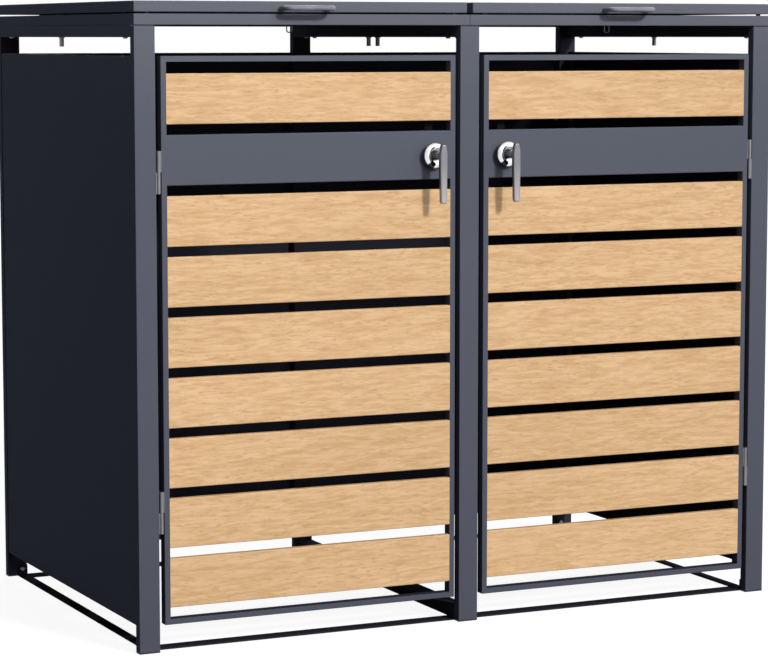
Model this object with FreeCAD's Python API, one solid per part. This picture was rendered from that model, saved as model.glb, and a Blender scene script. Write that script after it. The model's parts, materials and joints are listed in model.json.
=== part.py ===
import FreeCAD, Part
import math
import os

os.makedirs("parts", exist_ok=True)

# Store for two wheelie bins, in millimetres.
# X runs along the front, Y from front to back, Z up. The origin is the middle of the whole
# box, on the ground. Each right-hand piece is the mirror image of its left-hand one.

# How far a block or rod that cuts sticks out of the piece it cuts
overshoot = 1.0

# Limits within which two directions or two places count as the same
parallel = 0.999
same_place = 0.01

# Body of the store, without the levers, bows and rear hinges that stand out from it
store_width = 1340.0
store_depth = 810.0
store_height = 1182.0

# Posts: upright rectangular tubes with a plastic cap at each end
post_width = 40.0
post_depth = 20.0
tube_wall = 1.5
tube_edge_radius = 1.4
top_cap_thickness = 2.0
cap_plug_height = 8.0
plug_clearance = 0.3

# Flat strips and the middle bar on the ground
strip_thickness = 3.0
side_strip_width = 20.0
cross_strip_width = 32.0
middle_bar_height = 20.0

# Crossbars between each front post and rear post, and the frame that lies on them
crossbar_height = 22.0
side_crossbar_width = 20.0
top_frame_height = 20.0
top_frame_tube = 20.0

# Walls and doors share one lower edge and one upper edge
wall_bottom = 50.0
window_height = 55.0
panel_sheet = 1.0
panel_flange = 15.0
panel_inset = 1.0
panel_bend_radius = 1.5

# Lids: folded trays that lie upside down
lid_height = 20.0
lid_seat_gap = 3.0
lid_spacing = 12.0
lid_sheet = 1.2
lid_lip = 12.0
lid_bend_radius = 2.0
lid_rib_width = 26.0
lid_rib_depth = 10.0
lid_rib_inset = 150.0
lid_rib_end_gap = 60.0
buffer_diameter = 9.0
buffer_inset = 26.0

# Door leaves
door_gap = 10.0
door_depth = 20.0
door_tube_face = 10.5
door_tube_wall = 1.2
door_edge_radius = 1.0
drain_hole = 5.0
drain_inset = 60.0
board_rows = 9
latch_row = 2
board_gap = 19.0
board_end_gap = 21.0
board_depth = 12.0
board_sheet = 1.2
board_bend_radius = 2.0

# Hinges, all of one kind
hinge_length = 77.0
hinge_barrel = 6.6
hinge_pin = 4.0
pin_clearance = 0.05
hinge_leaf_width = 18.0
hinge_leaf_sheet = 2.5
knuckle_gap = 0.4
leaf_clearance = 1.0
door_hinge_inset = 208.0
lid_hinge_inset = 130.0

# Latches
latch_inset = 47.0
rose_diameter = 49.0
rose_foot = 41.0
rose_rim = 11.5
rose_height = 17.5
rose_mouth = 28.0
rose_mouth_edge = 1.0
rose_mouth_depth = 10.5
sleeve_diameter = 22.0
sleeve_fit = 0.2
sleeve_end_gap = 1.0
rose_nut_size = 30.0
rose_nut_thickness = 4.0
spindle_diameter = 12.0
spindle_clearance = 0.05
spindle_square = 8.0
spindle_nut_size = 13.0
spindle_nut_height = 5.0
neck_diameter = 19.0
neck_end_diameter = 13.0
neck_gap = 0.4
lever_standoff = 43.0
lever_above = 21.5
lever_shoulder = 5.0
lever_waist = -25.0
lever_tip = -89.5
lever_top_width = 9.5
lever_width = 15.5
lever_tip_width = 11.5
lever_thickness = 10.0
lever_top_radius = 3.5
lever_shoulder_radius = 30.0
lever_tip_radius = 4.8
lever_edge_radius = 2.5
cam_thickness = 3.0
cam_width = 16.0
cam_clearance = 0.3
cam_overlap = 15.0

# Lid bows, and the wire eyes below the lids
bow_length = 88.0
bow_splay = 2.0
bow_depth = 12.0
bow_thickness = 9.5
bow_rise = 7.5
bow_reach = 30.0
bow_bend_radius = 9.0
bow_stud = 4.0
bow_nut_size = 7.0
bow_nut_height = 4.0
eye_setback = 74.0
eye_drop = 56.0
eye_top_width = 15.5
eye_width = 12.0
eye_wire = 2.3
eye_bend_radius = 4.4
eye_wire_seat = 1.0
eye_plate_width = 34.0
eye_plate_depth = 16.0
eye_plate_thickness = 2.5

# Fasteners
bolt_diameter = 8.6
bolt_setback = 430.0
bolt_inset = 10.0
bolt_head_diameter = 15.0
bolt_crown_diameter = 10.0
bolt_head_height = 2.4
bolt_tail = 18.0
bolt_collar_diameter = 12.0
bolt_collar_height = 1.5
screw_diameter = 4.8
screw_head_diameter = 10.0
screw_crown_diameter = 6.6
screw_head_height = 2.6
screw_tip = 6.0
hole_clearance = 0.1
crossbar_screw_front = 72.0
crossbar_screw_rear = 65.0
panel_screw_inset = 150.0
tab_screw_margin = 3.5
tab_end_margin = 3.0

# Places that follow from the sizes above
hinge_standoff = door_gap / 2
hinge_reach = hinge_standoff + hinge_barrel / 2
lever_reach = lever_standoff + lever_thickness / 2
front_y = lever_reach - (lever_reach + store_depth + hinge_reach) / 2
rear_y = front_y + store_depth
post_back_y = front_y + post_depth
rear_post_front_y = rear_y - post_depth

left_x = -store_width / 2
post_inner_x = left_x + post_width
middle_x = -post_width / 2

lid_bottom = store_height - lid_height
top_frame_top = lid_bottom - lid_seat_gap
top_frame_bottom = top_frame_top - top_frame_height
tube_top = top_frame_bottom - top_cap_thickness
crossbar_bottom = top_frame_bottom - crossbar_height
wall_top = top_frame_bottom - window_height
tab_screw_z = strip_thickness + cap_plug_height + tab_screw_margin

door_left_x = post_inner_x + door_gap
door_right_x = middle_x - door_gap
board_left_x = door_left_x + door_tube_face
board_right_x = door_right_x - door_tube_face
door_opening = wall_top - wall_bottom - 2 * door_tube_face
board_height = (door_opening - 2 * board_end_gap - (board_rows - 1) * board_gap) / board_rows
top_board_bottom = wall_top - door_tube_face - board_end_gap - board_height
row_pitch = board_height + board_gap

hinge_x = post_inner_x + hinge_standoff
latch_x = door_right_x - latch_inset
latch_z = top_board_bottom - (latch_row - 1) * row_pitch + board_height / 2
cam_front_y = front_y + door_depth + cam_clearance
cam_back_y = cam_front_y + cam_thickness

lid_right_x = -lid_spacing / 2
lid_middle_x = (left_x + lid_right_x) / 2
lid_ceiling = store_height - lid_sheet
lid_hinge_z = (top_frame_top + lid_bottom) / 2
bow_z = lid_bottom + bow_rise

along_x = FreeCAD.Vector(1, 0, 0)
along_y = FreeCAD.Vector(0, 1, 0)
along_z = FreeCAD.Vector(0, 0, 1)


def block(x0, x1, y0, y1, z0, z1):
    return Part.makeBox(x1 - x0, y1 - y0, z1 - z0, FreeCAD.Vector(x0, y0, z0))


def rod(x, y, z, direction, diameter, length):
    return Part.makeCylinder(diameter / 2, length, FreeCAD.Vector(x, y, z), direction)


def mirrored(shape):
    """Right-hand piece of a left-hand one."""
    return shape.mirror(FreeCAD.Vector(0, 0, 0), along_x)


def fused(shapes):
    """One solid from pieces that overlap or meet face to face."""
    return shapes[0].multiFuse(shapes[1:]).removeSplitter()


def edges_along(shape, axis):
    """Straight edges that run along an axis."""
    found = []
    for edge in shape.Edges:
        run = edge.Vertexes[-1].Point - edge.Vertexes[0].Point
        if run.Length > 0 and abs(run.dot(axis)) > parallel * run.Length:
            found.append(edge)
    return found


def edges_clear_of(edges, axis, place):
    """The edges that don't lie in the plane at that place on the axis."""
    return [edge for edge in edges if abs(edge.CenterOfMass.dot(axis) - place) > same_place]


def tube(x0, x1, y0, y1, z0, z1, axis):
    """Rectangular tube with round long edges, open at both ends."""
    outer = block(x0, x1, y0, y1, z0, z1)
    outer = outer.makeFillet(tube_edge_radius, edges_along(outer, axis))
    wall_x = tube_wall * (1 - axis.x)
    wall_y = tube_wall * (1 - axis.y)
    wall_z = tube_wall * (1 - axis.z)
    bore = block(x0 + wall_x, x1 - wall_x, y0 + wall_y, y1 - wall_y, z0 + wall_z, z1 - wall_z)
    return outer.cut(bore)


def hollow_ring(outer, box, axis, face, wall):
    """Ring of tube cut from a block: the opening along the axis, then the hollow inside the tube."""

    def inner_box(inset_across, inset_along):
        inset = FreeCAD.Vector(inset_across, inset_across, inset_across)
        inset = inset - axis * (inset_across - inset_along)
        return block(
            box.XMin + inset.x, box.XMax - inset.x, box.YMin + inset.y, box.YMax - inset.y,
            box.ZMin + inset.z, box.ZMax - inset.z,
        )

    hollow = inner_box(wall, wall).cut(inner_box(face - wall, 0))
    return outer.cut(inner_box(face, -overshoot)).cut(hollow)


def hexagon(centre, direction, across_flats, height):
    """Nut blank that stands on its centre point."""
    blank = Part.Face(regular_outline(6, across_flats / math.sqrt(3)))
    blank = blank.extrude(FreeCAD.Vector(0, 0, height))
    blank.Placement = FreeCAD.Placement(centre, FreeCAD.Rotation(along_z, direction))
    return blank


def regular_outline(sides, radius):
    corners = []
    for corner in range(sides + 1):
        angle = 2 * math.pi * (corner % sides) / sides
        corners.append(FreeCAD.Vector(radius * math.cos(angle), radius * math.sin(angle), 0))
    return Part.makePolygon(corners)


def bent_bar(points, bend_radius, section):
    """Bar of one section along straight runs, with an arc at each inner point."""
    runs = []
    start = points[0]
    for before, corner, after in zip(points, points[1:], points[2:]):
        back = (before - corner).normalize()
        ahead = (after - corner).normalize()
        half_angle = back.getAngle(ahead) / 2
        tangent = bend_radius / math.tan(half_angle)
        arc_start = corner + back * tangent
        arc_end = corner + ahead * tangent
        to_middle = bend_radius / math.sin(half_angle) - bend_radius
        arc_middle = corner + (back + ahead).normalize() * to_middle
        runs.append(Part.LineSegment(start, arc_start).toShape())
        runs.append(Part.Arc(arc_start, arc_middle, arc_end).toShape())
        start = arc_end
    runs.append(Part.LineSegment(start, points[-1]).toShape())
    return Part.Wire(runs).makePipeShell([section(points[0], points[1])], True, False)


def round_section(diameter):
    def section(start, towards):
        return Part.Wire([Part.makeCircle(diameter / 2, start, towards - start)])
    return section


def oval_section(depth, thickness):
    """Oval that lies flat, its depth level and across the run."""
    def section(start, towards):
        across = along_z.cross(towards - start).normalize()
        oval = Part.Ellipse(start + across * (depth / 2), start + along_z * (thickness / 2), start)
        return Part.Wire([oval.toShape()])
    return section


# Fasteners of the frame. A seat is the point where the head bears, and the direction goes into the work.
def screw(seat, direction, grip):
    """Pan-head screw that grips this thickness and sticks out behind it."""
    head = Part.makeCone(
        screw_head_diameter / 2, screw_crown_diameter / 2, screw_head_height, seat, direction * -1
    )
    shank = rod(*seat, direction, screw_diameter, grip + screw_tip)
    return fused([head, shank])


def screw_hole(seat, direction, grip):
    start = seat - direction * overshoot
    return rod(*start, direction, screw_diameter + 2 * hole_clearance, overshoot + grip + screw_tip)


def crossbar_screw_seats():
    """From below, through a crossbar into the frame that lies on it."""
    seats = []
    for x in bolt_places():
        for y in (front_y + crossbar_screw_front, rear_y - crossbar_screw_rear):
            seats.append((FreeCAD.Vector(x, y, crossbar_bottom), along_z))
    return seats


def tab_screw_seats():
    """Through the upturned ends of the left side strip into its two posts."""
    x = post_inner_x - side_strip_width / 2
    front = FreeCAD.Vector(x, post_back_y + strip_thickness, tab_screw_z)
    rear = FreeCAD.Vector(x, rear_post_front_y - strip_thickness, tab_screw_z)
    return [(front, along_y * -1), (rear, along_y)]


def panel_screw_seats():
    """Through the folded edges of the left side panel and the left rear panel into their posts."""
    seats = []
    side_x = left_x + panel_inset + panel_flange / 2
    rear_panel_y = rear_y - panel_inset - panel_flange / 2
    for z in (wall_bottom + panel_screw_inset, (wall_bottom + wall_top) / 2, wall_top - panel_screw_inset):
        seats.append((FreeCAD.Vector(side_x, post_back_y + panel_sheet, z), along_y * -1))
        seats.append((FreeCAD.Vector(side_x, rear_post_front_y - panel_sheet, z), along_y))
        seats.append((FreeCAD.Vector(post_inner_x + panel_sheet, rear_panel_y, z), along_x * -1))
        seats.append((FreeCAD.Vector(middle_x - panel_sheet, rear_panel_y, z), along_x))
    return seats


crossbar_grip = crossbar_height + tube_wall
tab_grip = strip_thickness + tube_wall
panel_grip = panel_sheet + tube_wall


def bolt_places():
    """X of the four long bolts, two in the middle and one over each side."""
    return (left_x + bolt_inset, middle_x + bolt_inset, -middle_x - bolt_inset, -left_x - bolt_inset)


def left_screw_holes():
    holes = [screw_hole(seat, direction, tab_grip) for seat, direction in tab_screw_seats()]
    holes += [screw_hole(seat, direction, panel_grip) for seat, direction in panel_screw_seats()]
    return Part.makeCompound(holes)


def upper_holes():
    """Holes of the long bolts and of the crossbar screws."""
    holes = [screw_hole(seat, direction, crossbar_grip) for seat, direction in crossbar_screw_seats()]
    for x in bolt_places():
        depth = top_frame_top - crossbar_bottom + 2 * overshoot
        start = FreeCAD.Vector(x, front_y + bolt_setback, crossbar_bottom - overshoot)
        holes.append(rod(*start, along_z, bolt_diameter + 2 * hole_clearance, depth))
    return Part.makeCompound(holes)


def top_frame_bolts():
    """Long bolts with a low head on the frame and a collar under the crossbar."""
    bolts = []
    for x in bolt_places():
        y = front_y + bolt_setback
        tail_end = crossbar_bottom - bolt_tail
        head_seat = FreeCAD.Vector(x, y, top_frame_top)
        head = Part.makeCone(bolt_head_diameter / 2, bolt_crown_diameter / 2, bolt_head_height, head_seat)
        shank = rod(x, y, tail_end, along_z, bolt_diameter, top_frame_top - tail_end)
        collar = rod(x, y, crossbar_bottom, along_z * -1, bolt_collar_diameter, bolt_collar_height)
        bolts.append(fused([head, shank, collar]))
    return Part.makeCompound(bolts)


def crossbar_screws():
    screws = [screw(seat, direction, crossbar_grip) for seat, direction in crossbar_screw_seats()]
    return Part.makeCompound(screws)


def panel_screws():
    left = [screw(seat, direction, tab_grip) for seat, direction in tab_screw_seats()]
    left += [screw(seat, direction, panel_grip) for seat, direction in panel_screw_seats()]
    return Part.makeCompound(left + [mirrored(one) for one in left])


# Posts and their caps
def post(x0, y0, holes):
    length = tube(x0, x0 + post_width, y0, y0 + post_depth, strip_thickness, tube_top, along_z)
    return length.cut(holes)


def end_cap(x0, y0, z0, z1, plug_z0, plug_z1):
    """Flat plate the size of a post, with a plug that goes into the tube."""
    plate = block(x0, x0 + post_width, y0, y0 + post_depth, z0, z1)
    plate = plate.makeFillet(tube_edge_radius, edges_along(plate, along_z))
    inset = tube_wall + plug_clearance
    x1 = x0 + post_width - inset
    y1 = y0 + post_depth - inset
    return fused([plate, block(x0 + inset, x1, y0 + inset, y1, plug_z0, plug_z1)])


def post_end_caps():
    caps = []
    for x0 in (left_x, middle_x, -post_inner_x):
        for y0 in (front_y, rear_post_front_y):
            foot_plug_top = strip_thickness + cap_plug_height
            caps.append(end_cap(x0, y0, 0, strip_thickness, strip_thickness, foot_plug_top))
            caps.append(end_cap(x0, y0, tube_top, top_frame_bottom, tube_top - cap_plug_height, tube_top))
    return Part.makeCompound(caps)


# Bars between the posts
def crossbar(x0, x1, holes):
    bar = tube(x0, x1, post_back_y, rear_post_front_y, crossbar_bottom, top_frame_bottom, along_y)
    return bar.cut(holes)


def top_frame(holes):
    """Welded ring of square tube round one opening, which meets the other ring in the middle."""
    outer = block(left_x, 0, front_y, rear_y, top_frame_bottom, top_frame_top)
    ring = outer.makeFillet(tube_edge_radius, outer.Edges)
    return hollow_ring(ring, outer.BoundBox, along_z, top_frame_tube, tube_wall).cut(holes)


def middle_base_bar():
    z1 = strip_thickness + middle_bar_height
    return tube(middle_x, -middle_x, post_back_y, rear_post_front_y, strip_thickness, z1, along_y)


def side_base_strip(holes):
    """Flat strip from post to post whose ends are bent up against the posts."""
    x0 = post_inner_x - side_strip_width
    tab_top = tab_screw_z + screw_head_diameter / 2 + tab_end_margin
    flat = block(x0, post_inner_x, post_back_y, rear_post_front_y, 0, strip_thickness)
    front_tab = block(x0, post_inner_x, post_back_y, post_back_y + strip_thickness, 0, tab_top)
    rear_tab = block(x0, post_inner_x, rear_post_front_y - strip_thickness, rear_post_front_y, 0, tab_top)
    return fused([flat, front_tab, rear_tab]).cut(holes)


def cross_base_strip(y0):
    return block(post_inner_x, -post_inner_x, y0, y0 + cross_strip_width, 0, strip_thickness)


# Wall panels, folded sheets with a flange all round
def side_panel(holes):
    x0 = left_x + panel_inset
    outer = block(x0, x0 + panel_flange, post_back_y, rear_post_front_y, wall_bottom, wall_top)
    outer = outer.makeFillet(panel_bend_radius, edges_clear_of(outer.Edges, along_x, x0 + panel_flange))
    hollow = block(
        x0 + panel_sheet,
        x0 + panel_flange + overshoot,
        post_back_y + panel_sheet,
        rear_post_front_y - panel_sheet,
        wall_bottom + panel_sheet,
        wall_top - panel_sheet,
    )
    return outer.cut(hollow).cut(holes)


def rear_panel(holes):
    y1 = rear_y - panel_inset
    outer = block(post_inner_x, middle_x, y1 - panel_flange, y1, wall_bottom, wall_top)
    outer = outer.makeFillet(panel_bend_radius, edges_clear_of(outer.Edges, along_y, y1 - panel_flange))
    hollow = block(
        post_inner_x + panel_sheet,
        middle_x - panel_sheet,
        y1 - panel_flange - overshoot,
        y1 - panel_sheet,
        wall_bottom + panel_sheet,
        wall_top - panel_sheet,
    )
    return outer.cut(hollow).cut(holes)


# Hinges. The axis of a half is the Z axis, its length starts at the origin and its leaf lies at -X, +Y.
def hinge_half(carries_pin):
    knuckle_length = (hinge_length - knuckle_gap) / 2
    knuckle_z = 0 if carries_pin else hinge_length - knuckle_length
    clear_of_barrel = hinge_barrel / 2 + leaf_clearance
    leaf_x = -hinge_standoff
    leaf_inner_x = leaf_x + hinge_leaf_sheet
    knuckle = rod(0, 0, knuckle_z, along_z, hinge_barrel, knuckle_length)
    leaf = block(leaf_x, leaf_inner_x, clear_of_barrel, hinge_leaf_width, 0, hinge_length)
    neck = block(leaf_x, leaf_inner_x, 0, clear_of_barrel, knuckle_z, knuckle_z + knuckle_length)
    half = fused([knuckle, leaf, neck])
    if carries_pin:
        return fused([half, rod(0, 0, 0, along_z, hinge_pin, hinge_length)])
    bore = rod(0, 0, -overshoot, along_z, hinge_pin + 2 * pin_clearance, hinge_length + 2 * overshoot)
    return half.cut(bore)


def door_hinge_places():
    """Lower ends of the two hinges of the left door."""
    x = hinge_x
    half_length = hinge_length / 2
    lower = FreeCAD.Vector(x, front_y, wall_bottom + door_hinge_inset - half_length)
    upper = FreeCAD.Vector(x, front_y, wall_top - door_hinge_inset - half_length)
    return [lower, upper]


def lid_hinge_places():
    """Right-hand ends of the two hinges of the left lid, which lie along X behind the store."""
    y = rear_y + hinge_standoff
    half_length = hinge_length / 2
    outer = FreeCAD.Vector(left_x + lid_hinge_inset + half_length, y, lid_hinge_z)
    inner = FreeCAD.Vector(lid_right_x - lid_hinge_inset + half_length, y, lid_hinge_z)
    return [outer, inner]


def placed(shape, places, turn):
    copies = []
    for place in places:
        copy = shape.copy()
        copy.Placement = FreeCAD.Placement(place, turn)
        copies.append(copy)
    return copies


upright = FreeCAD.Rotation()
lying_at_the_back = FreeCAD.Rotation(along_y, along_z * -1, along_x * -1)


def frame_hinge_halves():
    """The halves with the pins: four on the posts, four on the rear of the top frame."""
    half = hinge_half(True)
    left = placed(half, door_hinge_places(), upright)
    left += placed(half, lid_hinge_places(), lying_at_the_back)
    return Part.makeCompound(left + [mirrored(one) for one in left])


def door_hinge_halves():
    """The halves without pins, on the edge of the left door."""
    half = mirrored(hinge_half(False))
    return Part.makeCompound(placed(Part.makeCompound([half]), door_hinge_places(), upright))


def lid_hinge_halves():
    """The halves without pins, on the rear face of the left lid."""
    half = hinge_half(False).mirror(FreeCAD.Vector(0, 0, 0), along_y)
    return placed(Part.makeCompound([half]), lid_hinge_places(), lying_at_the_back)


# Door leaf
def door_frame():
    """Welded frame of flat tube, with drain holes below."""
    outer = block(door_left_x, door_right_x, front_y, front_y + door_depth, wall_bottom, wall_top)
    frame = outer.makeFillet(door_edge_radius, outer.Edges)
    frame = hollow_ring(frame, outer.BoundBox, along_y, door_tube_face, door_tube_wall)
    for x in (door_left_x + drain_inset, door_right_x - drain_inset):
        start = FreeCAD.Vector(x, front_y + door_depth / 2, wall_bottom - overshoot)
        frame = frame.cut(rod(*start, along_z, drain_hole, door_tube_wall + 2 * overshoot))
    return frame


def board(row):
    """Roll-formed board: a shallow channel, open at the back."""
    z0 = top_board_bottom - (row - 1) * row_pitch
    z1 = z0 + board_height
    y1 = front_y + board_depth
    outer = block(board_left_x, board_right_x, front_y, y1, z0, z1)
    front_edges = edges_clear_of(edges_along(outer, along_x), along_y, y1)
    outer = outer.makeFillet(board_bend_radius, front_edges)
    hollow = block(
        board_left_x - overshoot,
        board_right_x + overshoot,
        front_y + board_sheet,
        y1 + overshoot,
        z0 + board_sheet,
        z1 - board_sheet,
    )
    return outer.cut(hollow)


def latch_plate():
    """Painted board of the same section, with the hole for the rose."""
    start = FreeCAD.Vector(latch_x, front_y - overshoot, latch_z)
    return board(latch_row).cut(rod(*start, along_y, sleeve_diameter + 2 * sleeve_fit, board_depth))


# Latch. Heights of its outline are measured forward from the door's front face.
def rose():
    """Domed rose that flares out from its foot, a threaded sleeve through the plate, and a nut behind."""
    bore = spindle_diameter / 2 + spindle_clearance
    sleeve = sleeve_diameter / 2
    rim = rose_diameter / 2
    mouth = rose_mouth / 2
    crown = mouth + rose_mouth_edge
    sleeve_end = -(door_depth + cam_clearance - sleeve_end_gap)
    mouth_floor = rose_height - rose_mouth_depth
    halfway = math.cos(math.pi / 4)
    dome_x = crown + (rim - crown) * halfway
    dome_height = rose_rim + (rose_height - rose_rim) * halfway

    def at(radius, height):
        return FreeCAD.Vector(latch_x + radius, front_y - height, latch_z)

    dome = Part.Arc(at(rim, rose_rim), at(dome_x, dome_height), at(crown, rose_height)).toShape()
    rest = Part.makePolygon([
        at(crown, rose_height),
        at(mouth, rose_height),
        at(mouth, mouth_floor),
        at(bore, mouth_floor),
        at(bore, sleeve_end),
        at(sleeve, sleeve_end),
        at(sleeve, 0),
        at(rose_foot / 2, 0),
        at(rim, rose_rim),
    ])
    section = Part.Face(Part.Wire([dome] + rest.Edges))
    body = section.revolve(FreeCAD.Vector(latch_x, front_y, latch_z), along_y, 360)
    nut_seat = FreeCAD.Vector(latch_x, front_y + board_sheet, latch_z)
    nut = hexagon(nut_seat, along_y, rose_nut_size, rose_nut_thickness)
    nut = nut.cut(rod(*nut_seat, along_y, sleeve_diameter, rose_nut_thickness))
    return fused([body, nut])


def lever_blade():
    """Flat bar, widest from the shoulder to the waist, with all of its edges round."""
    stations = (
        (lever_above, lever_top_width),
        (lever_shoulder, lever_width),
        (lever_waist, lever_width),
        (lever_tip, lever_tip_width),
    )
    rounded_corners = (
        (lever_above, lever_top_radius),
        (lever_shoulder, lever_shoulder_radius),
        (lever_tip, lever_tip_radius),
    )
    back_y = front_y - lever_standoff + lever_thickness / 2
    right_side = []
    left_side = []
    for rise, width in stations:
        right_side.append(FreeCAD.Vector(latch_x + width / 2, back_y, latch_z + rise))
        left_side.insert(0, FreeCAD.Vector(latch_x - width / 2, back_y, latch_z + rise))
    outline = Part.makePolygon(right_side + left_side + right_side[:1])
    blade = Part.Face(outline).extrude(along_y * -lever_thickness)
    for rise, radius in rounded_corners:
        side_edges = edges_along(blade, along_y)
        corners = [edge for edge in side_edges if abs(edge.CenterOfMass.z - latch_z - rise) < same_place]
        blade = blade.makeFillet(radius, corners)
    rims = [edge for edge in blade.Edges if edge.BoundBox.YLength < same_place]
    return blade.makeFillet(lever_edge_radius, rims)


def lever():
    """Blade, tapered neck, spindle, square end and the nut that holds the cam."""
    neck_start = front_y - (rose_height - rose_mouth_depth) - neck_gap
    neck_end = front_y - lever_standoff
    neck = Part.makeCone(
        neck_diameter / 2,
        neck_end_diameter / 2,
        neck_start - neck_end,
        FreeCAD.Vector(latch_x, neck_start, latch_z),
        along_y * -1,
    )
    spindle = rod(latch_x, neck_start, latch_z, along_y, spindle_diameter, cam_front_y - neck_start)
    half = spindle_square / 2
    square = block(latch_x - half, latch_x + half, cam_front_y, cam_back_y, latch_z - half, latch_z + half)
    nut = hexagon(
        FreeCAD.Vector(latch_x, cam_back_y, latch_z), along_y, spindle_nut_size, spindle_nut_height
    )
    return fused([lever_blade(), neck, spindle, square, nut])


def cam():
    """Flat tongue behind the door, upright while the lever hangs down."""
    reach = latch_inset + door_gap + cam_overlap
    half = cam_width / 2
    tip_z = latch_z + reach - half
    heel = rod(latch_x, cam_front_y, latch_z, along_y, cam_width, cam_thickness)
    tip = rod(latch_x, cam_front_y, tip_z, along_y, cam_width, cam_thickness)
    bar = block(latch_x - half, latch_x + half, cam_front_y, cam_back_y, latch_z, tip_z)
    hole = spindle_square / 2 + spindle_clearance
    square_hole = block(
        latch_x - hole,
        latch_x + hole,
        cam_front_y - overshoot,
        cam_back_y + overshoot,
        latch_z - hole,
        latch_z + hole,
    )
    return fused([heel, bar, tip]).cut(square_hole)


# Lid
def lid():
    """Folded tray with a lip turned in all round, two ribs inside and its halves of the hinges."""
    outer = block(left_x, lid_right_x, front_y, rear_y, lid_bottom, store_height)
    shell = outer.makeFillet(lid_bend_radius, outer.Edges)
    hollow = block(
        left_x + lid_sheet,
        lid_right_x - lid_sheet,
        front_y + lid_sheet,
        rear_y - lid_sheet,
        lid_bottom + lid_sheet,
        lid_ceiling,
    )
    mouth = block(
        left_x + lid_lip,
        lid_right_x - lid_lip,
        front_y + lid_lip,
        rear_y - lid_lip,
        lid_bottom - overshoot,
        lid_ceiling,
    )
    shell = shell.cut(hollow).cut(mouth)
    for x in bow_foot_places():
        start = FreeCAD.Vector(x, front_y - overshoot, bow_z)
        shell = shell.cut(rod(*start, along_y, bow_stud + 2 * hole_clearance, lid_sheet + 2 * overshoot))
    ribs = [lid_rib(left_x + lid_rib_inset), lid_rib(lid_right_x - lid_rib_inset)]
    return fused([shell] + ribs + lid_hinge_halves())


def lid_rib(x):
    """Channel under the lid from front to back, open at both ends."""
    half = lid_rib_width / 2
    z0 = lid_ceiling - lid_rib_depth
    y0 = front_y + lid_rib_end_gap
    y1 = rear_y - lid_rib_end_gap
    outer = block(x - half, x + half, y0, y1, z0, lid_ceiling)
    x0 = x - half + lid_sheet
    x1 = x + half - lid_sheet
    return outer.cut(block(x0, x1, y0 - overshoot, y1 + overshoot, z0 + lid_sheet, lid_ceiling))


def bow_foot_places():
    half = bow_length / 2 + bow_splay
    return [lid_middle_x - half, lid_middle_x + half]


def lid_bow():
    """Bent oval handle, cut flush with the lid, with a stud and a nut at each end."""
    half = bow_length / 2
    foot_left, foot_right = bow_foot_places()
    bar_y = front_y - bow_reach
    foot_y = front_y + overshoot
    bar = bent_bar(
        [
            FreeCAD.Vector(foot_left, foot_y, bow_z),
            FreeCAD.Vector(lid_middle_x - half, bar_y, bow_z),
            FreeCAD.Vector(lid_middle_x + half, bar_y, bow_z),
            FreeCAD.Vector(foot_right, foot_y, bow_z),
        ],
        bow_bend_radius,
        oval_section(bow_depth, bow_thickness),
    )
    behind_the_face = block(
        foot_left - bow_depth,
        foot_right + bow_depth,
        front_y,
        front_y + bow_depth,
        bow_z - bow_thickness,
        bow_z + bow_thickness,
    )
    pieces = [bar.cut(behind_the_face)]
    for x in (foot_left, foot_right):
        nut_seat = FreeCAD.Vector(x, front_y + lid_sheet, bow_z)
        pieces.append(rod(x, front_y, bow_z, along_y, bow_stud, lid_sheet + bow_nut_height))
        pieces.append(hexagon(nut_seat, along_y, bow_nut_size, bow_nut_height))
    return fused(pieces)


def lid_eye():
    """Wire eye, narrower below, on a small plate under the lid. A bin's own lid is tied to it."""
    y = front_y + eye_setback
    plate_z = lid_ceiling - eye_plate_thickness
    wire_top = plate_z + eye_wire_seat
    wire_bottom = lid_ceiling - eye_drop + eye_wire / 2
    top_half = (eye_top_width - eye_wire) / 2
    half = (eye_width - eye_wire) / 2
    wire = bent_bar(
        [
            FreeCAD.Vector(lid_middle_x - top_half, y, wire_top),
            FreeCAD.Vector(lid_middle_x - half, y, wire_bottom),
            FreeCAD.Vector(lid_middle_x + half, y, wire_bottom),
            FreeCAD.Vector(lid_middle_x + top_half, y, wire_top),
        ],
        eye_bend_radius,
        round_section(eye_wire),
    )
    x0 = lid_middle_x - eye_plate_width / 2
    y0 = y - eye_plate_depth / 2
    plate = block(x0, x0 + eye_plate_width, y0, y0 + eye_plate_depth, plate_z, lid_ceiling)
    return fused([plate, wire])


def lid_buffers():
    """Rubber buffers on the front rail, below the front corners of each lid."""
    y = front_y + lid_lip / 2
    left = []
    for x in (left_x + buffer_inset, lid_right_x - buffer_inset):
        left.append(rod(x, y, top_frame_top, along_z, buffer_diameter, lid_seat_gap))
    return Part.makeCompound(left + [mirrored(one) for one in left])


def save(name, shape):
    shape.exportStep("parts/" + name + ".step")


def save_pair(left_name, shape):
    """Saves a left-hand piece and its mirror image."""
    save(left_name, shape)
    save(left_name.replace("left", "right"), mirrored(shape))


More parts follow.
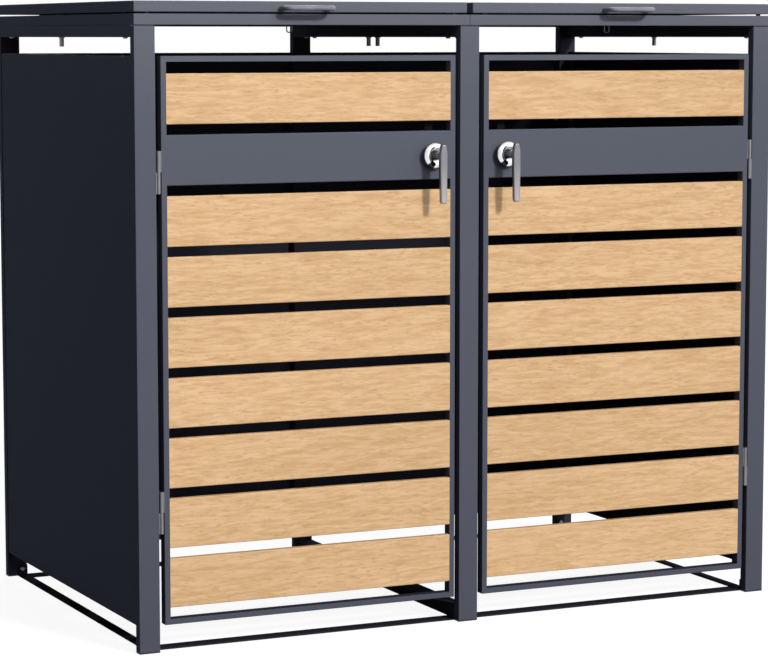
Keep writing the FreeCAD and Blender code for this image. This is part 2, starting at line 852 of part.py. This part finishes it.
def main():
    left_holes = left_screw_holes()
    all_holes = Part.makeCompound([left_holes, mirrored(left_holes)])
    top_holes = upper_holes()

    save_pair("post_front_left", post(left_x, front_y, left_holes))
    save_pair("post_rear_left", post(left_x, rear_post_front_y, left_holes))
    save("post_front_middle", post(middle_x, front_y, all_holes))
    save("post_rear_middle", post(middle_x, rear_post_front_y, all_holes))
    save("post_end_caps", post_end_caps())

    save_pair("crossbar_left", crossbar(left_x, left_x + side_crossbar_width, top_holes))
    save("crossbar_middle", crossbar(middle_x, -middle_x, top_holes))
    save_pair("top_frame_left", top_frame(top_holes))
    save("base_bar_middle", middle_base_bar())
    save_pair("base_strip_left", side_base_strip(left_holes))
    save("base_strip_front", cross_base_strip(post_back_y))
    save("base_strip_rear", cross_base_strip(rear_post_front_y - cross_strip_width))
    save_pair("side_panel_left", side_panel(left_holes))
    save_pair("rear_panel_left", rear_panel(left_holes))

    save("top_frame_bolts", top_frame_bolts())
    save("crossbar_screws", crossbar_screws())
    save("panel_screws", panel_screws())
    save("frame_hinge_halves", frame_hinge_halves())
    save("lid_buffers", lid_buffers())

    save_pair("door_left_frame", door_frame())
    for row in range(1, board_rows + 1):
        if row != latch_row:
            save_pair("door_left_board_" + str(row), board(row))
    save_pair("door_left_latch_plate", latch_plate())
    save_pair("door_left_hinge_halves", door_hinge_halves())
    save_pair("door_left_rose", rose())
    save_pair("latch_left_lever", lever())
    save_pair("latch_left_cam", cam())

    save_pair("lid_left", lid())
    save_pair("lid_left_bow", lid_bow())
    save_pair("lid_left_eye", lid_eye())


main()
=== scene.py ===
import json
import math

import bmesh
import bpy
from mathutils import Matrix, Vector


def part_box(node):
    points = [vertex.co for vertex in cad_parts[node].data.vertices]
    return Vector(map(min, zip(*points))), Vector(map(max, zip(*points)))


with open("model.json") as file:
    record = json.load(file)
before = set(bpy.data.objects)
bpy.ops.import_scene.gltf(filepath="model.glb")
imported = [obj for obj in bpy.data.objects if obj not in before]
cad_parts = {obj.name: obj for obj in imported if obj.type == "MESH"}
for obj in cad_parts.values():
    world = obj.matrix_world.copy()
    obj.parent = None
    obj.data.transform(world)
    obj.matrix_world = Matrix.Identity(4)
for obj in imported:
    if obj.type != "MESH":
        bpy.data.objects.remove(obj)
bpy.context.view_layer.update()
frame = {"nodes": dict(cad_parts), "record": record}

# Lengths are in metres, angles in degrees, the lens and the sensor in millimetres.

# Camera at the photograph's viewing angle: turned to the right and dipped below the horizon
CAMERA_PLACE = (-2.321, -4.919, 1.119)
CAMERA_TURN = 25.29
CAMERA_DIP = 6.23
CAMERA_RANGE = 100.0
LENS = 126.2
SENSOR = 36.0

# Light: the directions point from the store towards the lamps
KEY_DIRECTION = (0.34, -1.0, 0.55)
KEY_STRENGTH = 1.82
KEY_ANGLE = 6.0
FILL_DIRECTION = (0.75, -1.0, 0.2)
FILL_STRENGTH = 1.88
FILL_ANGLE = 80.0
BACK_DIRECTION = (0.45, 1.0, 0.3)
BACK_STRENGTH = 1.9
BACK_ANGLE = 30.0
TOP_PLACE = (-0.3, -1.8, 2.1)
TOP_AIM = (-0.1, -0.4, 1.0)
TOP_SIZE = (2.0, 0.6)
TOP_POWER = 6.0
AMBIENT = (0.05, 0.064, 0.115, 1.0)

# Floor: its grey for the light it sends back to the store, its grey and its glow where it is seen
FLOOR_REACH = 30.0
FLOOR_LEVEL = -0.0005
FLOOR_BOUNCE = (0.12, 0.12, 0.12, 1.0)
FLOOR_SEEN = (0.22, 0.22, 0.22, 1.0)
FLOOR_GLOW = 0.92

# Places on the store
STORE_HEIGHT = 1.182
LEVER_TIP_HEIGHT = 0.8075
LEVER_LENGTH = 0.111

# The rose seen from the front, with its painted reflection: its zones are shares of its radius
ROSE_RADIUS = 0.0245
ROSE_MOUTH = 0.2
ROSE_MOUTH_RIM = 0.36
ROSE_DOME = 0.5
ROSE_WORN = 0.58
ROSE_SIDE = 0.7
# Painted reflection: the direction and the spread of the dark streak low on the left
DARK_REFLECTION_DIRECTION = (-0.5, 0.0, -0.87)
DARK_REFLECTION_COSINE = 0.962

# Directions, and the cosine with a direction from which a face counts as looking there
LEFT = (-1, 0, 0)
RIGHT = (1, 0, 0)
FORWARD = (0, -1, 0)
UP = (0, 0, 1)
SHADE_SIDE_COSINE = 0.5
BOARD_BACK_COSINE = 0.3
ROSE_BACK_COSINE = -0.3

# Colours as they look under plain light, red, green and blue from 0 to 255
# Painted light and shade: the anthracite is darker at the foot and paler at the top
ANTHRACITE_SHADED_LOW = (86, 88, 99)
ANTHRACITE_MIDDLE = (98, 101, 111)
ANTHRACITE_LIT_HIGH = (109, 111, 120)
# Painted shade: the darker coat on faces that look into the store or upwards
PAINTED_SHADE_COAT = (58, 57, 68)
# Painted shade: the base strips are darker, as their up-facing tops are shaded
STRIP_SHADE_COAT = (50, 50, 58)
OAK_PALE = (238, 198, 151)
OAK_DARK = (216, 172, 121)
OAK_PORE = (194, 149, 104)
BOARD_BACK = (34, 34, 40)
ZINC = (114, 114, 118)
WIRE_ZINC = (82, 82, 86)
BLACK_ZINC = (26, 26, 28)
CHROME = (226, 227, 230)
# Painted reflection: the shaded and dark chrome stand for the room that the rose mirrors
CHROME_SHADED_REFLECTION = (165, 166, 171)
CHROME_DARK_REFLECTION = (48, 49, 54)
SATIN = (113, 112, 116)
# Painted reflection: the paler satin towards the lever's tip
SATIN_LIT_TIP = (148, 145, 149)
SILVER = (140, 141, 149)
BLACK_PLASTIC = (30, 31, 35)
RUBBER = (22, 22, 23)
WHITE = (255, 255, 255)

# Powder coat: the share of the height where its painted light is middling, the clouds in it, and
# its shine
COAT_MIDDLE_SHARE = 0.85
COAT_CLOUD = 0.16
COAT_SHINE = 0.0045

# Grain: cells of noise per metre to the right, backwards and upwards
FIBRE_GRAIN = (16, 1, 130)
FIGURE_GRAIN = (1.6, 1, 14)
PORE_GRAIN = (55, 1, 330)
PATCH_GRAIN = (6, 1, 26)
WARMTH_GRAIN = (1.2, 1, 4)
SATIN_GRAIN = (420, 60, 6)

# Oak: how much fibre and rings set its tone, how many rings, and how strong the pores get
FIBRE_WEIGHT = 0.85
RING_WEIGHT = 0.2
RING_COUNT = 9.0
PORE_STRENGTH = 0.95
OAK_SHINE = 0.25

# Depth of the finest relief
COAT_RELIEF = 0.00006
OAK_RELIEF = 0.00012
METAL_RELIEF = 0.00001
MOULDED_RELIEF = 0.00008


def linear(rgb):
    """Scene-linear colour of a display colour, by the sRGB formula."""
    channels = []
    for value in rgb:
        share = value / 255
        channels.append(share / 12.92 if share <= 0.04045 else ((share + 0.055) / 1.055) ** 2.4)
    return (*channels, 1.0)


def shades(color, spread):
    """Two stops of one display colour, darker and lighter by a share."""
    channels = linear(color)[:3]
    darker = [channel * (1 - spread) for channel in channels]
    lighter = [channel * (1 + spread) for channel in channels]
    return [(0.3, (*darker, 1)), (0.7, (*lighter, 1))]


class Graph:
    """Short way to write a node tree."""

    def __init__(self, tree):
        self.tree = tree
        tree.nodes.clear()

    def node(self, kind, settings=None, **inputs):
        made = self.tree.nodes.new(kind)
        for name, value in (settings or {}).items():
            setattr(made, name, value)
        for name, value in inputs.items():
            self.feed(made, name.replace("_", " "), value)
        return made

    def feed(self, made, name, value):
        socket = made.inputs[name]
        if isinstance(value, bpy.types.NodeSocket):
            self.tree.links.new(value, socket)
        else:
            socket.default_value = value

    def math(self, operation, first, second=0.0):
        made = self.node("ShaderNodeMath", {"operation": operation})
        self.feed(made, 0, first)
        self.feed(made, 1, second)
        return made.outputs[0]

    def scaled(self, value, factor, offset):
        return self.math("ADD", self.math("MULTIPLY", value, factor), offset)

    def mix(self, share, first, second, blend="MIX"):
        made = self.node("ShaderNodeMix", {"data_type": "RGBA", "blend_type": blend})
        self.feed(made, 0, share)
        self.feed(made, 6, first)
        self.feed(made, 7, second)
        return made.outputs[2]

    def place(self, stretch=(1, 1, 1), offset=(0, 0, 0)):
        """Object coordinates, stretched and moved."""
        coordinates = self.node("ShaderNodeTexCoord").outputs["Object"]
        made = self.node("ShaderNodeMapping", Vector=coordinates, Scale=stretch, Location=offset)
        return made.outputs[0]

    def normal(self):
        return self.node("ShaderNodeTexCoord").outputs["Normal"]

    def axis(self, vector, number):
        """One coordinate of a vector: 0 to the right, 1 backwards, 2 upwards."""
        return self.node("ShaderNodeSeparateXYZ", Vector=vector).outputs[number]

    def length(self, vector):
        made = self.node("ShaderNodeVectorMath", {"operation": "LENGTH"}, Vector=vector)
        return made.outputs["Value"]

    def along(self, vector, direction):
        """Cosine of the angle between a unit vector and a direction."""
        made = self.node("ShaderNodeVectorMath", {"operation": "DOT_PRODUCT"})
        self.feed(made, 0, vector)
        self.feed(made, 1, direction)
        return made.outputs["Value"]

    def noise(self, scale=1.0, stretch=(1, 1, 1), detail=2.0, roughness=0.5, distortion=0.0):
        made = self.node(
            "ShaderNodeTexNoise",
            Vector=self.place(stretch),
            Scale=scale,
            Detail=detail,
            Roughness=roughness,
            Distortion=distortion,
        )
        return made.outputs["Fac"]

    def ramp(self, value, stops):
        """Colour between the stops, each a position and a scene-linear colour."""
        made = self.node("ShaderNodeValToRGB")
        elements = made.color_ramp.elements
        elements[0].position, elements[0].color = stops[0]
        elements[1].position, elements[1].color = stops[-1]
        for position, color in stops[1:-1]:
            elements.new(position).color = color
        self.feed(made, 0, value)
        return made.outputs[0]

    def bump(self, height, depth):
        return self.node("ShaderNodeBump", Height=height, Distance=depth).outputs[0]

    def rays(self, *kinds):
        """1 for the rays of any of these kinds, 0 for all others."""
        path = self.node("ShaderNodeLightPath")
        share = path.outputs[kinds[0]]
        for kind in kinds[1:]:
            share = self.math("MAXIMUM", share, path.outputs[kind])
        return share

    def surface(self, **inputs):
        shader = self.node("ShaderNodeBsdfPrincipled", **inputs)
        self.node("ShaderNodeOutputMaterial", Surface=shader.outputs[0])


def material(name):
    made = bpy.data.materials.new(name)
    made.use_nodes = True
    return made, Graph(made.node_tree)


def powder_coat(name, shade_side=None, plain=None, shine=COAT_SHINE):
    """Fine-textured coat with painted light, paler towards the top and darker at the foot, or one
    plain colour.

    The faces that look towards shade_side get painted shade, a darker coat, such as the inside of a
    panel.
    """
    made, graph = material(name)
    height = graph.math("MULTIPLY", graph.axis(graph.place(), 2), 1 / STORE_HEIGHT)
    cloud = graph.scaled(graph.noise(scale=2.5, detail=3.0), COAT_CLOUD, -COAT_CLOUD / 2)
    # Painted light and shade: the coat darkens towards the foot and pales towards the top
    anthracite = [
        (0.0, linear(ANTHRACITE_SHADED_LOW)),
        (COAT_MIDDLE_SHARE, linear(ANTHRACITE_MIDDLE)),
        (1.0, linear(ANTHRACITE_LIT_HIGH)),
    ]
    stops = shades(plain, spread=0.05) if plain else anthracite
    color = graph.ramp(graph.math("ADD", height, cloud), stops)
    # Painted shade: faces that look towards shade_side get the darker coat
    if shade_side:
        facing = graph.along(graph.normal(), shade_side)
        dark = graph.math("GREATER_THAN", facing, SHADE_SIDE_COSINE)
        color = graph.mix(dark, color, linear(PAINTED_SHADE_COAT))
    graph.surface(
        Base_Color=color,
        Roughness=graph.scaled(graph.noise(scale=60.0), factor=0.12, offset=0.46),
        Specular_IOR_Level=shine,
        Normal=graph.bump(graph.noise(scale=1400.0), COAT_RELIEF),
    )
    return made


def oak_board():
    """Printed oak grain on a board's front and folded edges, a plain dark coat on its back."""
    made, graph = material("oak_board")
    fibre = graph.noise(stretch=FIBRE_GRAIN, detail=4.0, roughness=0.6, distortion=0.5)
    figure = graph.noise(scale=2.2, stretch=FIGURE_GRAIN, detail=3.0, distortion=1.4)
    rings = graph.math("FRACT", graph.math("MULTIPLY", figure, RING_COUNT))
    rings = graph.math("ABSOLUTE", graph.math("SUBTRACT", rings, 0.5))
    rings = graph.math("MULTIPLY", rings, RING_WEIGHT)
    tone = graph.math("ADD", graph.math("MULTIPLY", fibre, FIBRE_WEIGHT), rings)
    wood = graph.ramp(tone, [(0.30, linear(OAK_DARK)), (0.60, linear(OAK_PALE))])

    pores = graph.noise(stretch=PORE_GRAIN, roughness=0.6)
    pores = graph.ramp(pores, [(0.54, (0, 0, 0, 1)), (0.70, (1, 1, 1, 1))])
    patches = graph.math("MULTIPLY", graph.noise(stretch=PATCH_GRAIN), PORE_STRENGTH)
    pores = graph.math("MULTIPLY", pores, patches)
    wood = graph.mix(pores, wood, linear(OAK_PORE))

    warmth = graph.noise(stretch=WARMTH_GRAIN, detail=1.0)
    tint = graph.ramp(warmth, [(0.3, (0.94, 0.94, 0.92, 1)), (0.7, (1.03, 1.03, 1.03, 1))])
    wood = graph.mix(1.0, wood, tint, "MULTIPLY")

    printed = graph.math("LESS_THAN", graph.axis(graph.normal(), 1), BOARD_BACK_COSINE)
    relief = graph.math("MULTIPLY", graph.math("SUBTRACT", fibre, pores), printed)
    graph.surface(
        Base_Color=graph.mix(printed, linear(BOARD_BACK), wood),
        Roughness=graph.scaled(fibre, factor=0.2, offset=0.45),
        Specular_IOR_Level=OAK_SHINE,
        Normal=graph.bump(relief, OAK_RELIEF),
    )
    return made


def plated_metal(name, color, roughness):
    """Zinc-plated metal with faint mottling."""
    made, graph = material(name)
    mottle = graph.noise(scale=90.0, detail=4.0)
    graph.surface(
        Base_Color=graph.ramp(mottle, shades(color, spread=0.08)),
        Metallic=1.0,
        Roughness=graph.scaled(mottle, factor=0.4 * roughness, offset=0.8 * roughness),
        Normal=graph.bump(graph.noise(scale=900.0, detail=3.0), METAL_RELIEF),
    )
    return made


def satin_metal():
    """Satin lever: fine lines along its length, and a painted reflection that makes it paler
    towards the tip.
    """
    made, graph = material("satin_cast_metal")
    height = graph.axis(graph.place(), 2)
    lines = graph.noise(stretch=SATIN_GRAIN)
    # Painted reflection: paler towards the tip, along the lever's length
    share = graph.math("SUBTRACT", height, LEVER_TIP_HEIGHT)
    share = graph.math("MULTIPLY", share, 1 / LEVER_LENGTH)
    share = graph.math("ADD", share, graph.scaled(lines, factor=0.5, offset=-0.25))
    graph.surface(
        Base_Color=graph.ramp(share, [(0.0, linear(SATIN_LIT_TIP)), (0.65, linear(SATIN))]),
        Metallic=1.0,
        Roughness=graph.scaled(lines, factor=0.12, offset=0.3),
        Normal=graph.bump(lines, METAL_RELIEF),
    )
    return made


def polished_chrome(name, node):
    """Chrome of a rose with a painted reflection of a room, by the place on the rose.

    The dome is bright and its side a painted dark reflection, the mouth darkens inwards by painted
    reflection and is less polished, and a painted dark reflection lies low on the left.
    """
    made, graph = material(name)
    low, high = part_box(node)
    centre = (-(low[0] + high[0]) / 2, 0.0, -(low[2] + high[2]) / 2)
    place = graph.place(offset=centre)
    right, up = graph.axis(place, 0), graph.axis(place, 2)
    flat = graph.node("ShaderNodeCombineXYZ", X=right, Z=up).outputs[0]
    radius = graph.math("MULTIPLY", graph.length(flat), 1 / ROSE_RADIUS)
    outward = graph.node("ShaderNodeVectorMath", {"operation": "NORMALIZE"}, Vector=flat).outputs[0]

    # Painted dark reflection: a streak low on the left and the turned-away side
    streak = graph.math("GREATER_THAN", graph.along(outward, DARK_REFLECTION_DIRECTION), DARK_REFLECTION_COSINE)
    streak = graph.math("MULTIPLY", streak, graph.math("GREATER_THAN", radius, ROSE_MOUTH_RIM))
    turned_away = graph.math("GREATER_THAN", graph.axis(graph.normal(), 1), ROSE_BACK_COSINE)
    side = graph.math("MULTIPLY", turned_away, graph.math("GREATER_THAN", radius, ROSE_SIDE))
    # Painted reflection: dark in the mouth, shaded at its rim, bright on the dome
    zones = [
        (ROSE_MOUTH, linear(CHROME_DARK_REFLECTION)),
        (ROSE_MOUTH_RIM, linear(CHROME_SHADED_REFLECTION)),
        (ROSE_DOME, linear(CHROME)),
    ]
    dark = graph.math("MAXIMUM", streak, side)
    haze = graph.scaled(graph.noise(scale=90.0, detail=4.0), factor=0.05, offset=0.05)
    worn = graph.math("MULTIPLY", graph.math("LESS_THAN", radius, ROSE_WORN), 0.4)
    graph.surface(
        Base_Color=graph.mix(dark, graph.ramp(radius, zones), linear(CHROME_DARK_REFLECTION)),
        Metallic=1.0,
        Roughness=graph.math("ADD", haze, worn),
    )
    return made


def moulded(name, color, roughness, shine=0.3):
    """Plastic, rubber or paint with a fine grain."""
    made, graph = material(name)
    grain = graph.noise(scale=700.0, detail=3.0)
    graph.surface(
        Base_Color=graph.ramp(graph.noise(scale=40.0), shades(color, spread=0.15)),
        Roughness=graph.scaled(grain, factor=0.15, offset=roughness),
        Specular_IOR_Level=shine,
        Normal=graph.bump(grain, MOULDED_RELIEF),
    )
    return made


def slot_finishes():
    """One finish for each material slot of the CAD."""
    return {
        "anthracite": powder_coat("anthracite_powder_coat"),
        "oak_look": oak_board(),
        "zinc": plated_metal("zinc_plate", ZINC, roughness=0.5),
        "black_zinc": moulded("black_finished_steel", BLACK_ZINC, roughness=0.4, shine=0.01),
        "satin_metal": satin_metal(),
        "silver_paint": moulded("silver_coat", SILVER, roughness=0.35, shine=0.1),
        "plastic": moulded("black_moulded_plastic", BLACK_PLASTIC, roughness=0.5),
        "rubber": moulded("matt_rubber", RUBBER, roughness=0.75),
    }


def node_finishes():
    """Finishes of the nodes that look different from the rest of their slot, several of them by
    painted shade or painted reflection.
    """
    finishes = {
        "base_bar_middle": powder_coat("base_bar_coat", shine=0.0),
        # Painted shade on the insides of the side panels
        "side_panel_left": powder_coat("left_side_panel_coat", shade_side=RIGHT),
        "side_panel_right": powder_coat("right_side_panel_coat", shade_side=LEFT),
    }
    # Painted shade: one darker plain coat for the base strips
    strip = powder_coat("base_strip_coat", plain=STRIP_SHADE_COAT, shine=0.0)
    for place in ("front", "left", "rear", "right"):
        finishes[f"base_strip_{place}"] = strip
    # Painted shade on the fronts of the rear posts
    rear_post = powder_coat("rear_post_coat", shade_side=FORWARD)
    for place in ("left", "middle", "right"):
        finishes[f"post_rear_{place}"] = rear_post
    # Painted shade on the upward faces of the door frames
    door_frame = powder_coat("door_frame_coat", shade_side=UP)
    wire = plated_metal("zinc_wire", WIRE_ZINC, roughness=0.3)
    for side in ("left", "right"):
        rose = f"door_{side}_rose"
        # Painted reflection in the rose's chrome
        finishes[rose] = polished_chrome(f"{side}_rose_chrome", rose)
        # Painted shade on the insides of the rear panels
        finishes[f"rear_panel_{side}"] = powder_coat(f"{side}_rear_panel_coat", shade_side=FORWARD)
        finishes[f"door_{side}_frame"] = door_frame
        finishes[f"lid_{side}_eye"] = wire
    return finishes


def dress_nodes():
    by_slot = slot_finishes()
    by_node = node_finishes()
    slots = {part["node"]: part["material_slot"] for part in frame["record"]["subparts"]}
    for name, node in frame["nodes"].items():
        node.data.materials.clear()
        node.data.materials.append(by_node.get(name) or by_slot[slots[name]])


def add_object(name, data):
    made = bpy.data.objects.new(name, data)
    bpy.context.scene.collection.objects.link(made)
    return made


def make_camera():
    data = bpy.data.cameras.new("camera")
    data.lens = LENS
    data.sensor_width = SENSOR
    data.clip_end = CAMERA_RANGE
    camera = add_object("camera", data)
    camera.location = CAMERA_PLACE
    turn = Matrix.Rotation(math.radians(-CAMERA_TURN), 4, "Z")
    dip = Matrix.Rotation(math.radians(90 - CAMERA_DIP), 4, "X")
    camera.rotation_euler = (turn @ dip).to_euler()
    bpy.context.scene.camera = camera


def lamp_rotation(direction):
    """Rotation of a lamp that shines from this direction."""
    return direction.to_track_quat("Z", "Y").to_euler()


def make_sun(name, direction, strength, angle):
    data = bpy.data.lights.new(name, "SUN")
    data.energy = strength
    data.angle = math.radians(angle)
    lamp = add_object(name, data)
    lamp.rotation_euler = lamp_rotation(Vector(direction))


def make_top_light():
    """Wide soft lamp above the front, so that the upper parts are a little lighter."""
    data = bpy.data.lights.new("top_light", "AREA")
    data.shape = "RECTANGLE"
    data.size, data.size_y = TOP_SIZE
    data.energy = TOP_POWER
    lamp = add_object("top_light", data)
    lamp.location = TOP_PLACE
    lamp.rotation_euler = lamp_rotation(Vector(TOP_PLACE) - Vector(TOP_AIM))


def make_world():
    """White where the camera, a mirror or a clear part looks, a dim bluish light elsewhere."""
    world = bpy.data.worlds.new("studio")
    world.use_nodes = True
    bpy.context.scene.world = world
    graph = Graph(world.node_tree)
    seen = graph.rays("Is Camera Ray", "Is Glossy Ray", "Is Transmission Ray")
    color = graph.mix(seen, AMBIENT, linear(WHITE))
    background = graph.node("ShaderNodeBackground", Color=color, Strength=1.0)
    graph.node("ShaderNodeOutputWorld", Surface=background.outputs[0])


def make_floor():
    """White floor that keeps a faint shadow of the store."""
    made, graph = material("floor")
    seen = graph.rays("Is Camera Ray", "Is Glossy Ray")
    diffuse = graph.node("ShaderNodeBsdfDiffuse", Color=graph.mix(seen, FLOOR_BOUNCE, FLOOR_SEEN))
    strength = graph.math("MULTIPLY", seen, FLOOR_GLOW)
    glow = graph.node("ShaderNodeEmission", Color=linear(WHITE), Strength=strength)
    both = graph.node("ShaderNodeAddShader")
    graph.feed(both, 0, diffuse.outputs[0])
    graph.feed(both, 1, glow.outputs[0])
    graph.node("ShaderNodeOutputMaterial", Surface=both.outputs[0])
    mesh = bpy.data.meshes.new("floor")
    shape = bmesh.new()
    bmesh.ops.create_grid(shape, x_segments=1, y_segments=1, size=FLOOR_REACH)
    shape.to_mesh(mesh)
    shape.free()
    mesh.materials.append(made)
    floor = add_object("floor", mesh)
    floor.location.z = FLOOR_LEVEL


dress_nodes()
make_camera()
make_sun("key_light", KEY_DIRECTION, KEY_STRENGTH, KEY_ANGLE)
make_sun("fill_light", FILL_DIRECTION, FILL_STRENGTH, FILL_ANGLE)
make_sun("back_light", BACK_DIRECTION, BACK_STRENGTH, BACK_ANGLE)
make_top_light()
make_world()
make_floor()
bpy.context.scene.view_settings.view_transform = "Standard"
